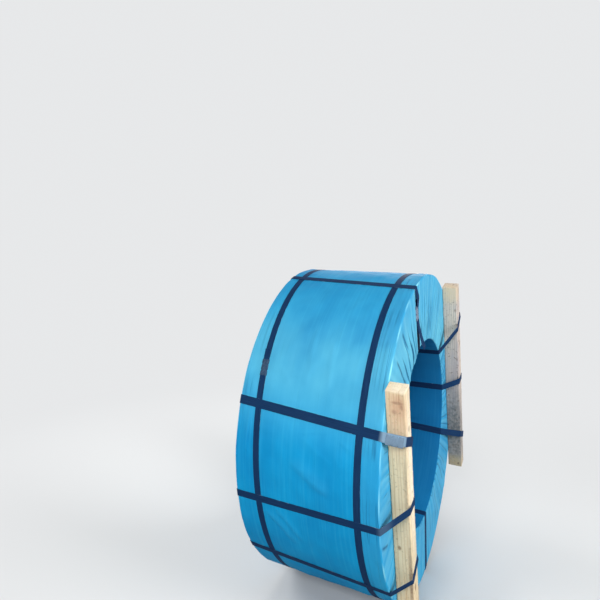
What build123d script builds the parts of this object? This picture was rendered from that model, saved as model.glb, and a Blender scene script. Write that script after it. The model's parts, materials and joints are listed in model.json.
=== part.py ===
from build123d import *
from math import asin, cos, degrees, hypot, radians, sin, tan
import os

# Packed coil of steel strand, standing on its tread with its axis along X.
# Millimetres, +Z up. The origin lies on the floor, under the axis, at the middle of the pack's width.
# Angles round the axis start at the near side (-Y) and climb over the top:
# 0 is the near side, 90 the top, 180 the far side, 270 the bottom.

# Wrapped coil
coil_radius = 680.0
bore_radius = 405.0
coil_width = 555.0
wrap_thickness = 1.5
wrap_corner = 2.0
soft_gap = 0.3

# Wound strand
strand_diameter = 21.8
nesting = 0.866
turn_relief = 5.0

# Steel bands
cross_band_width = 32.0
tread_band_width = 25.0
band_thickness = 1.0
left_band_inset = 69.5
right_band_inset = 78.0
left_band_drift = -29.0
left_band_drift_angle = 133.0

# Timber battens, chords of the right end. The rim distance is from the rim to the batten's
# outer edge, and the slide moves the batten along its own length, from the middle of the chord
batten_length = 1030.0
batten_width = 63.0
batten_thickness = 66.0
batten_edge_wear = 3.0
near_angle = -14.0
near_rim_distance = 141.0
near_slide = -28.0
far_angle = 163.7
far_rim_distance = 124.5
far_slide = 38.0
battens = {
    "batten_near": (near_angle, near_rim_distance, near_slide),
    "batten_far": (far_angle, far_rim_distance, far_slide),
}

# Pressed seals
seal_length = 64.0
seal_wall = 1.1
seal_fit = 0.6
seal_skirt = 0.6
seal_notch = 4.5
seal_notch_pitch = 24.0
left_band_seal_angle = 30.4
right_band_seal_angle = 150.0
end_seal_reach = 171.0
hidden_seal_reach = 218.0

# Cross bands round the section of the coil: angle, lean in degrees, batten crossed
cross_bands = {
    "cross_band_1": (17.7, -5.2, "batten_near"),
    "cross_band_2": (73.0, -5.4, None),
    "cross_band_3": (137.2, -4.3, "batten_far"),
    "cross_band_4": (168.5, -1.9, "batten_far"),
    "cross_band_5": (197.5, 2.4, "batten_far"),
    "cross_band_6": (262.0, 1.0, None),
    "cross_band_7": (322.6, -6.2, "batten_near"),
    "cross_band_8": (348.6, 0.0, "batten_near"),
}

# Values that follow from the ones above
band_level = band_thickness + soft_gap
tread_band_radius = coil_radius + soft_gap
cross_band_radius = tread_band_radius + band_level
bore_band_radius = bore_radius - soft_gap
end_x = coil_width / 2
side_x = end_x + soft_gap
batten_top_x = side_x + batten_thickness
axis_x = -(soft_gap + batten_thickness) / 2
axis_z = tread_band_radius + band_thickness
axis_point = (axis_x, 0, axis_z)
coil_axis = Axis(axis_point, (1, 0, 0))
strand_outer = coil_radius - wrap_thickness - soft_gap
strand_inner = bore_radius + wrap_thickness + soft_gap
strand_half_width = end_x - wrap_thickness - soft_gap
layers = 2 * round((strand_outer - strand_inner) / (strand_diameter * nesting) / 2)
layer_pitch = (strand_outer - strand_inner) / layers


def outward(angle):
    """Unit vector from the axis towards the given angle."""
    return Vector(0, -cos(radians(angle)), sin(radians(angle)))


def along(angle):
    """Unit vector in which the angle grows."""
    return Vector(0, sin(radians(angle)), cos(radians(angle)))


def section_plane(angle, lean=0.0):
    """Plane through the axis and the given angle: local X along the coil, local Y outwards."""
    across = Vector(1, 0, 0) * cos(radians(lean)) + along(angle) * sin(radians(lean))
    return Plane(origin=axis_point, x_dir=across, z_dir=across.cross(outward(angle)))


def batten_plane(angle):
    """Plane of the right end: local X along the batten, local Y outwards, local Z off the end."""
    return Plane(
        origin=Vector(*axis_point) + Vector(end_x, 0, 0),
        x_dir=outward(angle).cross(Vector(1, 0, 0)),
        z_dir=(1, 0, 0),
    )


def batten_reach(angle, lean, batten):
    """Smallest and largest radius at which a cross band meets its batten."""
    batten_angle, rim_distance, slide = battens[batten]
    outer_edge = coil_radius - rim_distance
    turn = radians(angle - batten_angle)
    half_band = cross_band_width / 2 / cos(radians(lean))
    radii = []
    for x in (end_x, batten_top_x):
        drift = x * tan(radians(lean))
        for side in (drift - half_band, drift + half_band):
            for edge in (outer_edge - batten_width, outer_edge):
                radii.append(hypot((edge + side * sin(turn)) / cos(turn), side))
    return min(radii), max(radii)


def band_corners(name):
    """Corners of a cross band's inner line, as distance along the axis and radius.

    They go from the left rim down the left end, through the bore and up the right end.
    """
    angle, lean, batten = cross_bands[name]
    outer_level, inner_level = cross_band_radius, bore_band_radius
    over_batten = []
    if batten:
        low, high = batten_reach(angle, lean, batten)
        low, high = low - soft_gap, high + soft_gap
        outer_level, inner_level = max(outer_level, high), min(inner_level, low)
        over_batten = [(batten_top_x + soft_gap, low), (batten_top_x + soft_gap, high)]
    return [
        (-side_x, cross_band_radius),
        (-side_x, bore_band_radius),
        (side_x, inner_level),
        *over_batten,
        (side_x, outer_level),
    ]


os.makedirs("parts", exist_ok=True)

# Wound strand: one turned body. Its layers nest, so on both ends every second layer of turns
# stands out as a ridge and the layer between lies half a strand further in.
with BuildPart() as strand_coil:
    with BuildSketch(section_plane(0)):
        with BuildLine():
            right_end = [
                (strand_half_width - turn_relief * (1 - layer % 2), strand_inner + layer * layer_pitch)
                for layer in range(layers + 1)
            ]
            left_end = [(-x, r) for x, r in reversed(right_end)]
            Polyline(*right_end, *left_end, close=True)
        make_face()
    revolve(axis=coil_axis)
strand_coil.part.label = "strand_coil"
export_step(strand_coil.part, "parts/strand_coil.step")

# Outer wrap: woven sheet round the tread, turned in over both ends as far as the bore
with BuildPart() as outer_wrap:
    lip_radius = bore_radius + wrap_thickness + soft_gap
    with BuildSketch(section_plane(0)):
        with BuildLine():
            Polyline(
                (-end_x, lip_radius),
                (-end_x, coil_radius - wrap_corner),
                (-end_x + wrap_corner, coil_radius),
                (end_x - wrap_corner, coil_radius),
                (end_x, coil_radius - wrap_corner),
                (end_x, lip_radius),
                (end_x - wrap_thickness, lip_radius),
                (end_x - wrap_thickness, coil_radius - wrap_thickness),
                (-end_x + wrap_thickness, coil_radius - wrap_thickness),
                (-end_x + wrap_thickness, lip_radius),
                close=True,
            )
        make_face()
    revolve(axis=coil_axis)
outer_wrap.part.label = "outer_wrap"
export_step(outer_wrap.part, "parts/outer_wrap.step")

# Bore wrap: a sleeve of the same sheet through the bore
with BuildPart() as bore_wrap:
    with BuildSketch(Plane(origin=axis_point, z_dir=(1, 0, 0))):
        Circle(bore_radius + wrap_thickness)
        Circle(bore_radius, mode=Mode.SUBTRACT)
    extrude(amount=end_x, both=True)
bore_wrap.part.label = "bore_wrap"
export_step(bore_wrap.part, "parts/bore_wrap.step")

# Timber battens: sawn bars laid across the right end as chords, their long edges worn down
for name, (angle, rim_distance, slide) in battens.items():
    with BuildPart() as batten:
        with BuildSketch(batten_plane(angle).offset(soft_gap)):
            with Locations((slide, coil_radius - rim_distance - batten_width / 2)):
                Rectangle(batten_length, batten_width)
        extrude(amount=batten_thickness)
        long_edges = batten.edges().filter_by(GeomType.LINE).sort_by(SortBy.LENGTH)[-4:]
        chamfer(long_edges, batten_edge_wear)
    batten.part.label = name
    export_step(batten.part, f"parts/{name}.step")

# Tread bands: hoops round the tread, cut from a tube by two parallel planes
drift_side = outward(left_band_drift_angle) * (-left_band_drift / coil_radius)
tread_bands = {
    "tread_band_left": (left_band_inset - end_x, (Vector(1, 0, 0) + drift_side).normalized()),
    "tread_band_right": (end_x - right_band_inset, Vector(1, 0, 0)),
}
for name, (band_x, facing) in tread_bands.items():
    middle = Vector(*axis_point) + Vector(band_x, 0, 0)
    with BuildPart() as tread_band:
        with BuildSketch(Plane(origin=middle, z_dir=(1, 0, 0))):
            Circle(tread_band_radius + band_thickness)
            Circle(tread_band_radius, mode=Mode.SUBTRACT)
        extrude(amount=tread_band_width + abs(left_band_drift), both=True)
        with Locations(Plane(origin=middle, z_dir=facing)):
            Box(3 * coil_radius, 3 * coil_radius, tread_band_width, mode=Mode.INTERSECT)
    tread_band.part.label = name
    export_step(tread_band.part, f"parts/{name}.step")

# Cross bands: closed loops pulled tight round the section, and over the batten they meet, if any
for name, (angle, lean, batten) in cross_bands.items():
    drift = side_x * abs(tan(radians(lean)))
    reach = degrees(asin((cross_band_width + 2 * drift) / bore_radius))
    with BuildPart() as cross_band:
        with BuildSketch(section_plane(angle + reach)):
            with BuildSketch(mode=Mode.PRIVATE) as inside:
                with BuildLine():
                    Polyline(*band_corners(name), close=True)
                make_face()
            add(inside.sketch)
            offset(amount=band_thickness, kind=Kind.INTERSECTION)
            add(inside.sketch, mode=Mode.SUBTRACT)
        revolve(axis=coil_axis, revolution_arc=2 * reach)
        with Locations(section_plane(angle, lean)):
            Box(3 * coil_width, 3 * coil_radius, cross_band_width, mode=Mode.INTERSECT)
    cross_band.part.label = name
    export_step(cross_band.part, f"parts/{name}.step")


def tread_seal_plane(band_x, facing, angle):
    """Top of a tread band at an angle: local X along the band, local Z outwards."""
    spot = outward(angle)
    level = (tread_band_radius + band_thickness) * spot
    slide = -level.dot(facing) / facing.X
    origin = Vector(*axis_point) + level + Vector(band_x + slide, 0, 0)
    return Plane(origin=origin, x_dir=facing.cross(spot), z_dir=spot)


def cross_seal_plane(name, run_name, reach=None):
    """Top of a cross band on one of its straight runs: local X along the band.

    The seal sits at a distance from the run's first corner, or half way along the run.
    """
    angle, lean, batten = cross_bands[name]
    corners = band_corners(name)
    corners = corners + corners[:1]
    start = {"bore": 1, "right end": 2, "bridge": 4, "tread": len(corners) - 2}[run_name]
    first, last = (Vector(*corner) for corner in corners[start : start + 2])
    run = last - first
    spot = first + (run / 2 if reach is None else run.normalized() * reach)
    facing = run.cross(Vector(0, 0, 1)).normalized()
    spot_angle = angle + degrees(asin(spot.X * tan(radians(lean)) / spot.Y))
    out = Vector(1, 0, 0) * facing.X + outward(spot_angle) * facing.Y
    level = Vector(spot.X, 0, 0) + outward(spot_angle) * spot.Y + out * band_thickness
    return Plane(
        origin=Vector(*axis_point) + level,
        x_dir=out.cross(section_plane(angle, lean).z_dir),
        z_dir=out,
    )


seals = {
    "seal_tread_left": tread_seal_plane(*tread_bands["tread_band_left"], left_band_seal_angle),
    "seal_tread_right": tread_seal_plane(*tread_bands["tread_band_right"], right_band_seal_angle),
    "seal_cross_1": cross_seal_plane("cross_band_1", "bridge"),
    "seal_cross_2": cross_seal_plane("cross_band_2", "right end", end_seal_reach),
}
for number in (3, 4, 5):
    seals[f"seal_cross_{number}"] = cross_seal_plane(f"cross_band_{number}", "tread", hidden_seal_reach)
for number in (6, 7, 8):
    seals[f"seal_cross_{number}"] = cross_seal_plane(f"cross_band_{number}", "bore", hidden_seal_reach)

# Seals: pressed channels over the lapped ends of each band, with crimp notches in both skirts
for name, place in seals.items():
    band_width = tread_band_width if "tread" in name else cross_band_width
    channel_width = band_width + 2 * seal_fit
    seal_width = channel_width + 2 * seal_wall
    notch_spots = [
        (x, y)
        for x in (-seal_notch_pitch / 2, seal_notch_pitch / 2)
        for y in (-seal_width / 2, seal_width / 2)
    ]
    with BuildPart(place) as seal:
        with BuildSketch(place.offset(-seal_skirt)):
            Rectangle(seal_length, seal_width)
            with Locations(*notch_spots):
                Rectangle(seal_notch, seal_notch, rotation=45, mode=Mode.SUBTRACT)
        extrude(amount=seal_skirt + seal_fit + seal_wall)
        with BuildSketch(place.offset(-seal_skirt)):
            Rectangle(seal_length, channel_width)
        extrude(amount=seal_skirt + seal_fit, mode=Mode.SUBTRACT)
    seal.part.label = name
    export_step(seal.part, f"parts/{name}.step")
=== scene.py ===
import json
import math
import random

import bpy
import numpy as np
from mathutils import Matrix, Vector
from mathutils.geometry import convex_hull_2d

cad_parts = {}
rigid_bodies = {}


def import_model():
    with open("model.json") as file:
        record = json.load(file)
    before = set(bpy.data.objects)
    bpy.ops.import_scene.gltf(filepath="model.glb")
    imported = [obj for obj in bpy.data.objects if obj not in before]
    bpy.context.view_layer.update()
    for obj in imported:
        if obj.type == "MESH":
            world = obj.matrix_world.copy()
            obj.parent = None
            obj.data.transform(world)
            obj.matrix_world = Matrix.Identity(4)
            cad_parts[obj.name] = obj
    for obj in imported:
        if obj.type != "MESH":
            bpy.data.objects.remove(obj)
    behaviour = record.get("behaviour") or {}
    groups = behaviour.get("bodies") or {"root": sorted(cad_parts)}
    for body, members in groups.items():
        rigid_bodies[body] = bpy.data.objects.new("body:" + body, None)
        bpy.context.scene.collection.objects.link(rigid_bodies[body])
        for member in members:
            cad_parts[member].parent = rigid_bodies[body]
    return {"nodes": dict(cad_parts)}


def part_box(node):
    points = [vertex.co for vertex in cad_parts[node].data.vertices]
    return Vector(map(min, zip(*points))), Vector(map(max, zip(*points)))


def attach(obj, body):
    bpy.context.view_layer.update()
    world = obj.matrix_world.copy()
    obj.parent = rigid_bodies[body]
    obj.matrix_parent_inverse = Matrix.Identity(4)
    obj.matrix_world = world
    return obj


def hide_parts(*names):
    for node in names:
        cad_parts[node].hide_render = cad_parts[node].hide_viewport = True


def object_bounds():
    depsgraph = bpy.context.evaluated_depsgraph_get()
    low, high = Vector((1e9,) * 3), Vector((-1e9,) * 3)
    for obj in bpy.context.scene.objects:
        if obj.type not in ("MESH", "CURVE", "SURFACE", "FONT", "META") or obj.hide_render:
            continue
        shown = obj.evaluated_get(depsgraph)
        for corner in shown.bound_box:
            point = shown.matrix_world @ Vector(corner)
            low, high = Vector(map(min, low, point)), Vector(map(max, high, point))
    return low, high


# The cube, lamp and camera that a new file starts with go first
for spare in list(bpy.data.objects):
    bpy.data.objects.remove(spare)
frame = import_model()
cadLow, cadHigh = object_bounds()
bpy.ops.object.select_all(action="DESELECT")
print("frame loaded:", len(frame["nodes"]), "nodes")

# The coil stands on its tread with its axis along X. Angles round the axis are in degrees:
# 0 is the near side (-Y), 90 the top, 180 the far side, 270 the bottom. Lengths are in metres.

coil = {
    "wrapWall": 0.0015,  # thickness of the wrap in the frame
    "gap": 0.0003,  # clearance between the wrap and what is strapped on it
    "bandThickness": 0.001,
}
wrapLow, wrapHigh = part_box("outer_wrap")
boreLow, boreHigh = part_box("bore_wrap")
axisX = (wrapLow.x + wrapHigh.x) / 2
axisZ = (wrapLow.z + wrapHigh.z) / 2
coilRadius = (wrapHigh.z - wrapLow.z) / 2
halfWidth = (wrapHigh.x - wrapLow.x) / 2
boreRadius = (boreHigh.z - boreLow.z) / 2 - coil["wrapWall"]
coilAxis = Vector((axisX, 0, axisZ))


def outward(angle):
    return Vector((0, -math.cos(math.radians(angle)), math.sin(math.radians(angle))))


def along(angle):
    return Vector((0, math.sin(math.radians(angle)), math.cos(math.radians(angle))))


def onCoil(points):
    # Distance along the axis, angle and radius of points
    p = np.array(points, float).reshape(-1, 3) - np.array(coilAxis)
    return p[:, 0], np.degrees(np.arctan2(p[:, 2], -p[:, 1])) % 360, np.hypot(p[:, 1], p[:, 2])


def ease(t):
    t = np.clip(t, 0, 1)
    return t * t * (3 - 2 * t)


def shortTurn(angle):
    return (angle + 180) % 360 - 180


def nodePoints(name):
    return np.array([v.co for v in frame["nodes"][name].data.vertices], float)


# Camera

view = {
    "fromAxis": (0.7744, -2.4212, 0.8802),  # where it stands from the middle of the coil's axis
    "down": 3.331,  # degrees below the horizon
    "turn": 30.659,  # degrees to the left of +Y
    "focalPixels": 544.635,
    "middlePixel": (240, 260),  # the lens's own middle in the picture
    "pictureSize": 600,
    "sensor": 36,
}


def makeCamera():
    camera = bpy.data.objects.new("photo_camera", bpy.data.cameras.new("photo_camera"))
    bpy.context.scene.collection.objects.link(camera)
    size = view["pictureSize"]
    camera.location = coilAxis + Vector(view["fromAxis"])
    camera.rotation_euler = (math.radians(90 - view["down"]), 0, math.radians(view["turn"]))
    camera.data.sensor_width = view["sensor"]
    camera.data.lens = view["focalPixels"] * view["sensor"] / size
    camera.data.shift_x = (size / 2 - view["middlePixel"][0]) / size
    camera.data.shift_y = (view["middlePixel"][1] - size / 2) / size
    bpy.context.scene.camera = camera


makeCamera()
bpy.context.scene.view_settings.view_transform = "Standard"
print("camera set")


# Materials

def colour(hexValue):
    # sRGB hex to the linear colour that a shader takes
    parts = [int(hexValue[k:k + 2], 16) / 255 for k in (1, 3, 5)]
    return (*[p / 12.92 if p <= 0.04045 else ((p + 0.055) / 1.055) ** 2.4 for p in parts], 1)


def addNode(tree, kind, inputs=(), stops=(), **settings):
    # Adds a node and sets it up. An input gets a value, a hex colour, a socket, or a node, whose
    # first output in use is linked; None leaves it alone. A ramp gets its (place, hex) stops.
    node = tree.nodes.new("ShaderNode" + kind)
    for key, value in settings.items():
        setattr(node, key, value)
    for key, value in dict(inputs).items():
        if isinstance(value, bpy.types.Node):
            value = next(socket for socket in value.outputs if socket.enabled)
        if isinstance(value, bpy.types.NodeSocket):
            tree.links.new(value, node.inputs[key])
        elif value is not None:
            node.inputs[key].default_value = colour(value) if isinstance(value, str) else value
    for k, (place, hexValue) in enumerate(stops):
        elements = node.color_ramp.elements
        element = elements[k] if k < 2 else elements.new(place)
        element.position, element.color = place, colour(hexValue)
    return node


def emptyTree(owner):
    owner.use_nodes = True
    owner.node_tree.nodes.clear()
    return owner.node_tree


def newMaterial(name, addSurface, *details):
    # addSurface adds its nodes to the tree and gives back the shader's inputs
    material = bpy.data.materials.new(name)
    tree = emptyTree(material)
    shader = addNode(tree, "BsdfPrincipled", addSurface(tree, *details))
    addNode(tree, "OutputMaterial", {"Surface": shader})
    return material


def giveMaterial(piece, material):
    piece.data.materials.clear()
    piece.data.materials.append(material)


sheetLook = {
    "tape": 0.005,  # real tapes are 2.5 mm wide, drawn twice as coarse so that they show
    "noises": {  # length round the coil, width, detail and roughness
        "blotch": (0.31, 0.22, 3, 0.55),
        "streak": (0.45, 0.009, 3, 0.5),  # fine streaks from the loom
        "wrinkle": (0.70, 0.022, 1, 0.5),  # the thin lines in the loose margins, painted dark as shade
        "crinkle": (0.070, 0.038, 4, 0.5),
    },
    "streaky": (0.48, 0.70, 0.17),  # where in their noise the streaks begin and end, and their share
    "wrinkled": ((0.47, "#000000"), (0.50, "#ffffff"), (0.515, "#000000")),
    # The painted sheen, a paler patchy band that stands in for the light on the sheet, comes and goes at
    # these shares of the height
    "dusty": ((0.54, "#000000"), (0.80, "#ffffff"), (0.92, "#a0a0a0"), (1.0, "#7c7c7c")),
    "dustShare": 0.58,
    "bumps": ((0.35, 0.004), (0.6, -0.003), (0.12, 0.0003)),  # crinkles, wrinkles and weave
    "roughness": 0.60,
}
sheetTones = {
    # The inner sleeve is painted a deeper blue than the outer sheet, as painted shade for the inside of
    # the bore
    # In each, the darkest tone is painted shade for creases and wrinkle lines, the one before it a painted
    # sheen by height; the fold white also serves the painted paler ends and rim line
    "woven_polypropylene_sheet": {
        "blue": "#149cd4", "deepBlue": "#1085bf", "paleBlue": "#40b7de", "foldWhite": "#98e4f0",
        "dust": "#64bed9", "crease": "#0a4773", "specular": 0.04},
    "woven_polypropylene_sleeve": {
        "blue": "#1c7db6", "deepBlue": "#146ba4", "paleBlue": "#3592c4", "foldWhite": "#5fb4dc",
        "dust": "#2a86b8", "crease": "#0b4676", "specular": 0.02},
}


def addSheetSurface(tree, tones):
    # Woven polypropylene tarpaulin with a thin laminated film: flat tapes crossing at right
    # angles, satin with a soft highlight, whitened where it was folded hard. Painted light on it: a paler
    # sheen by height, paler ends, a rim line partly painted highlight, and painted shade in creases and
    # wrinkles.
    uv = addNode(tree, "UVMap", uv_map="cloth")
    fold, crease, loose = [addNode(tree, "Attribute", attribute_name=name).outputs["Fac"]
                           for name in ("fold", "crease", "loose")]
    noise = {}
    for name, (long, wide, detail, rough) in sheetLook["noises"].items():
        place = addNode(tree, "Mapping", {"Vector": uv, "Scale": (1 / long, 1 / wide, 1)})
        noise[name] = addNode(tree, "TexNoise", {
            "Vector": place, "Scale": 1, "Detail": detail, "Roughness": rough})

    current = addNode(tree, "ValToRGB", {"Fac": noise["blotch"]}, (
        (0.30, tones["deepBlue"]), (0.70, tones["blue"])))
    low, high, most = sheetLook["streaky"]
    streaked = addNode(tree, "MapRange", {
        "Value": noise["streak"], "From Min": low, "From Max": high, "To Max": most})
    # Painted sheen: the sheet is painted paler in a patchy band by height, for the broad highlight of the
    # light on it
    place = addNode(tree, "TexCoord").outputs["Object"]
    height = addNode(tree, "SeparateXYZ", {0: place}).outputs["Z"]
    upShare = addNode(tree, "Math", {0: height, 1: cadHigh.z}, operation="DIVIDE")
    sheenHeight = addNode(tree, "ValToRGB", {"Fac": upShare}, sheetLook["dusty"])
    sheenHeight.color_ramp.interpolation = "EASE"
    sheenPatch = addNode(tree, "MapRange", {"Value": noise["blotch"], "To Max": 2 * sheetLook["dustShare"]})
    sheened = addNode(tree, "Math", {0: sheenHeight, 1: sheenPatch}, operation="MULTIPLY")
    # Thin wrinkle lines, bumped and painted dark as shade
    line = addNode(tree, "ValToRGB", {"Fac": noise["wrinkle"]}, sheetLook["wrinkled"])
    wrinkled = addNode(tree, "Math", {0: line, 1: loose}, operation="MULTIPLY")
    # Painted shade in the creases and along the wrinkle lines
    dark = addNode(tree, "Math", {0: crease, 1: wrinkled}, operation="MAXIMUM")
    for share, tone in ((streaked, "paleBlue"), (sheened, "dust"), (fold, "foldWhite"), (dark, "crease")):
        current = addNode(tree, "Mix", {0: share, 6: current, 7: tones[tone]}, data_type="RGBA")

    tapes = 1 / (2 * sheetLook["tape"])
    place = addNode(tree, "Mapping", {"Vector": uv, "Scale": (tapes, tapes, 1)})
    weave = addNode(tree, "TexChecker", {"Vector": place, "Scale": 2}).outputs["Fac"]
    bump = None
    for height, (strength, distance) in zip((noise["crinkle"], wrinkled, weave), sheetLook["bumps"]):
        bump = addNode(tree, "Bump", {
            "Height": height, "Normal": bump, "Strength": strength, "Distance": distance})
    return {"Base Color": current, "Normal": bump, "Roughness": sheetLook["roughness"],
            "Specular IOR Level": tones["specular"]}


bandLook = {
    # The last tone here is a painted reflection, used where bands bridge to a batten
    "paint": "#112c4e", "dustyPaint": "#203f66", "steel": "#7f95ab", "bareSteel": "#738da3",
    "noises": {"scratch": (0.080, 0.0011, 3), "patch": (0.033, 0.016, 4)},  # length, width and detail
    "rubbed": (0.50, 0.66), "roughness": (0.50, 0.68), "bump": (0.15, 0.0003), "specular": 0.02,
}


def addBandSurface(tree):
    # Painted steel strapping: cold rolled strip under thin blue-black paint, semi-matt, with fine
    # scratches along it, and pale steel at its rubbed edges; where a band bridges to a batten it is
    # painted pale, a painted reflection.
    uv = addNode(tree, "UVMap", uv_map="band")
    edge, bare = [addNode(tree, "Attribute", attribute_name=name).outputs["Fac"]
                  for name in ("worn", "bare")]
    noise = {}
    for name, (long, wide, detail) in bandLook["noises"].items():
        place = addNode(tree, "Mapping", {"Vector": uv, "Scale": (1 / long, 1 / wide, 1)})
        noise[name] = addNode(tree, "TexNoise", {"Vector": place, "Scale": 1, "Detail": detail})
    current = addNode(tree, "ValToRGB", {"Fac": noise["scratch"]}, (
        (0.35, bandLook["paint"]), (0.75, bandLook["dustyPaint"])))
    worn = addNode(tree, "Math", {0: noise["patch"], 1: edge}, operation="MULTIPLY")
    low, high = bandLook["rubbed"]
    rubbed = addNode(tree, "MapRange", {"Value": worn, "From Min": low, "From Max": high})
    # Rubbed edges show pale steel, and the bridges a painted reflection
    for share, tone in ((rubbed, "steel"), (bare, "bareSteel")):
        current = addNode(tree, "Mix", {0: share, 6: current, 7: bandLook[tone]}, data_type="RGBA")
    low, high = bandLook["roughness"]
    rough = addNode(tree, "MapRange", {"Value": noise["scratch"], "To Min": low, "To Max": high})
    strength, distance = bandLook["bump"]
    bump = addNode(tree, "Bump", {"Height": noise["scratch"], "Strength": strength, "Distance": distance})
    return {"Base Color": current, "Normal": bump, "Roughness": rough,
            "Specular IOR Level": bandLook["specular"]}


sealTones = {
    # Zinc, dull zinc, roughness, metallic, specular
    "galvanised_steel_seal": ("#8999ad", "#5d7087", 0.62, 1.0, 0.5),
    "chalky_zinc_seal": ("#6c8092", "#667a8c", 0.70, 1.0, 0.5),
    "blued_steel_seal": ("#3d536a", "#2b405a", 0.55, 0.4, 0.15),
}
spangle = 0.0055  # size of the crystals in the zinc


def addSealSurface(tree, zinc, dullZinc, rough, metal, specular):
    # Pressed steel seal with a mottled zinc or blued skin: a soft metal shine, not polished.
    place = addNode(tree, "TexCoord").outputs["Object"]
    crystals = addNode(tree, "TexVoronoi", {"Vector": place, "Scale": 1 / spangle}).outputs["Color"]
    tone = addNode(tree, "ValToRGB", {"Fac": crystals}, ((0.2, dullZinc), (0.8, zinc)))
    return {"Base Color": tone, "Metallic": metal, "Roughness": rough, "Specular IOR Level": specular}


strandLook = {"wire": "#8a8c8e", "dullWire": "#6f7173", "mottle": 0.011, "rough": 0.35}


def addStrandSurface(tree):
    # Bright drawn steel wire laid in turns: grey and fairly glossy.
    place = addNode(tree, "TexCoord").outputs["Object"]
    grain = addNode(tree, "TexNoise", {"Vector": place, "Scale": 1 / strandLook["mottle"], "Detail": 3})
    tone = addNode(tree, "ValToRGB", {"Fac": grain}, (
        (0.3, strandLook["dullWire"]), (0.7, strandLook["wire"])))
    return {"Base Color": tone, "Metallic": 1, "Roughness": strandLook["rough"]}


sheetMaterial, shadedSleeveMaterial = [newMaterial(name, addSheetSurface, tones)
                                 for name, tones in sheetTones.items()]
sealMaterials = {name: newMaterial(name, addSealSurface, *tones) for name, tones in sealTones.items()}
bandMaterial = newMaterial("painted_steel_strapping", addBandSurface)
giveMaterial(frame["nodes"]["strand_coil"], newMaterial("drawn_steel_strand", addStrandSurface))
print("materials made")


# Where the bands and battens lie, read from the frame

def crossBandLine(name):
    # Middle angle, sideways drift per metre along the axis, width, and corners (x, radius) of the top
    points = nodePoints(name)
    x, angle, radius = onCoil(points)
    turned = shortTurn(angle - angle[0])
    rim = radius > coilRadius
    right, left = turned[rim & (x > 0)], turned[rim & (x < 0)]
    sides = [(side.max() + side.min()) / 2 for side in (left, right)]
    middle = angle[0] + sum(sides) / 2
    drift = math.radians(sides[1] - sides[0]) * coilRadius / (2 * halfWidth)
    # Both long edges are cut by planes at half the width from the middle of the coil's axis
    edge = np.sign(radius * np.sin(np.radians(angle - middle)) - drift * x)
    normal = np.linalg.lstsq(points - np.array(coilAxis), edge, rcond=None)[0]
    upright = math.hypot(normal[1], normal[2])
    flat = [Vector(p) for p in sorted(set(zip(np.round(x, 5), np.round(radius, 5))))]
    hull = [flat[k] for k in convex_hull_2d(flat)]
    corners, shortest, flattest = [], 0.002, math.radians(3)
    for k, corner in enumerate(hull):
        before = corner - hull[k - 1]
        after = hull[(k + 1) % len(hull)] - corner
        if before.length > shortest and abs(before.angle_signed(after)) > flattest:
            corners.append(corner)
    return {"angle": math.degrees(math.atan2(normal[1], normal[2])) % 360, "drift": -normal[0] / upright,
            "width": 2 / float(np.linalg.norm(normal)), "corners": corners}


def treadBandLine(name):
    # How the middle of a band round the tread swings along the axis with the angle, and its width
    x, angle, radius = onCoil(nodePoints(name))
    turn = np.radians(angle)
    columns = np.column_stack([np.ones_like(x), np.cos(turn), np.sin(turn)])
    fit = np.linalg.lstsq(columns, x, rcond=None)[0]
    off = x - columns @ fit
    return {"fit": fit, "radius": float(radius.max()), "width": float(off.max() - off.min())}


def sealBox(name):
    # Middle, directions and half sizes of a seal: along its band, across it, off it
    points = nodePoints(name)
    middle = points.mean(axis=0)
    axes = np.linalg.svd(points - middle, full_matrices=False)[2]
    reach = (points - middle) @ axes.T
    low, high = reach.min(axis=0), reach.max(axis=0)
    return Vector(middle + ((low + high) / 2) @ axes), [Vector(a) for a in axes], (high - low) / 2


def battenBox(name):
    # Middle, directions and half sizes of a batten: along it, off the coil's axis, off the end
    points = nodePoints(name)
    middle = Vector((points.max(axis=0) + points.min(axis=0)) / 2)
    lengthwise = Vector(np.linalg.svd(points - np.array(middle), full_matrices=False)[2][0])
    out = Vector((1, 0, 0))
    off = lengthwise.cross(out).normalized()
    if off.dot(middle - coilAxis) < 0:
        off = -off
    axes = [off.cross(out), off, out]
    half = [float(np.abs((points - np.array(middle)) @ np.array(a)).max()) for a in axes]
    return middle, axes, half


crossBands = {f"cross_band_{n}": crossBandLine(f"cross_band_{n}") for n in range(1, 9)}
treadBands = {name: treadBandLine(name) for name in ("tread_band_left", "tread_band_right")}
battens = {name: battenBox(name) for name in ("batten_near", "batten_far")}
for name, line in {**crossBands, **treadBands}.items():
    print(name, "is", round(line["width"] * 1000, 1), "mm wide")


def clearOfCross(x, angle, radius):
    # Distance from the edge of the nearest cross band, for points on the tread, an end or the bore
    nearest = np.full(np.broadcast(x, angle, radius).shape, 1.0)
    for line in crossBands.values():
        turn = np.radians(angle - line["angle"])
        side = np.abs(radius * np.sin(turn) - line["drift"] * x) - line["width"] / 2
        nearest = np.minimum(nearest, np.where(np.cos(turn) > 0, side, 1.0))
    return nearest


def clearOfTread(x, angle):
    # Distance from the edge of the nearest tread band
    nearest = np.full(np.broadcast(x, angle).shape, 1.0)
    turn = np.radians(angle)
    for line in treadBands.values():
        middle, swingCos, swingSin = line["fit"]
        bandX = middle + swingCos * np.cos(turn) + swingSin * np.sin(turn)
        nearest = np.minimum(nearest, np.abs(x - bandX) - line["width"] / 2)
    return nearest


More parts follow.
